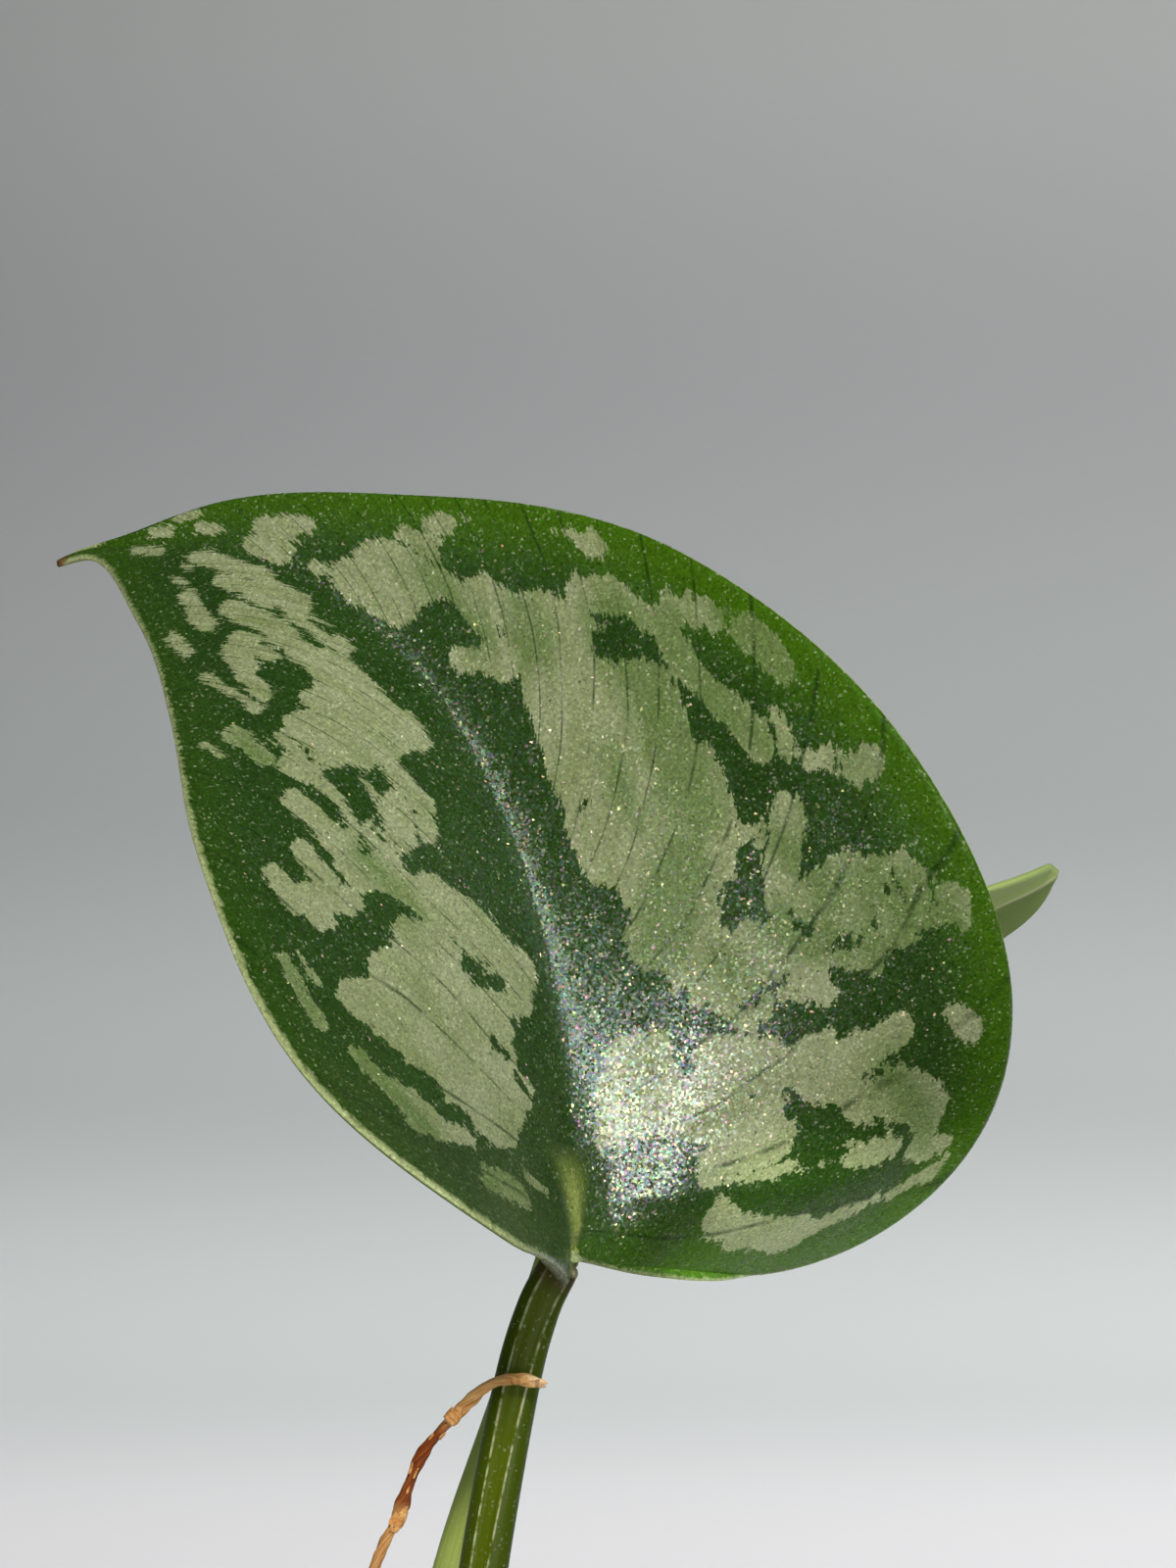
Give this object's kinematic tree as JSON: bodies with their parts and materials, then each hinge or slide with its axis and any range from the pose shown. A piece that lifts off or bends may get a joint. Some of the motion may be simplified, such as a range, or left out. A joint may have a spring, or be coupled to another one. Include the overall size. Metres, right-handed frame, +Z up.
{
  "type": "potted scindapsus",
  "caption": "Potted satin pothos: silver-marked heart-shaped leaves on arching stalks, rooted in soil in a plain terracotta pot.",
  "frame": {"origin": "centre of the pot's flat underside", "axes": "+Z up the plant, -Y the side that the tall crown leaf faces, +X to the right as seen from there"},
  "size_m": [0.2003, 0.1948, 0.2301],
  "materials": {
    "terracotta": "matte",
    "potting_mix": "matte",
    "green_stem": "satin",
    "satin_leaf": "satin",
    "young_leaf": "satin",
    "dry_husk": "matte"
  },
  "bodies": {
    "root": {"pot": "terracotta", "soil": "potting_mix", "crown_stem": "green_stem", "right_stem": "green_stem", "left_stem": "green_stem", "back_stem": "green_stem", "crown_leaf_blade": "satin_leaf", "rear_leaf_blade": "young_leaf", "crown_low_leaf_blade": "satin_leaf", "right_front_leaf_blade": "satin_leaf", "right_back_leaf_blade": "satin_leaf", "front_leaf_blade": "satin_leaf", "left_front_leaf_blade": "satin_leaf", "left_leaf_blade": "satin_leaf", "back_leaf_blade": "satin_leaf", "back_left_leaf_blade": "satin_leaf", "dry_sheath_strand": "dry_husk"}
  },
  "joints": []
}
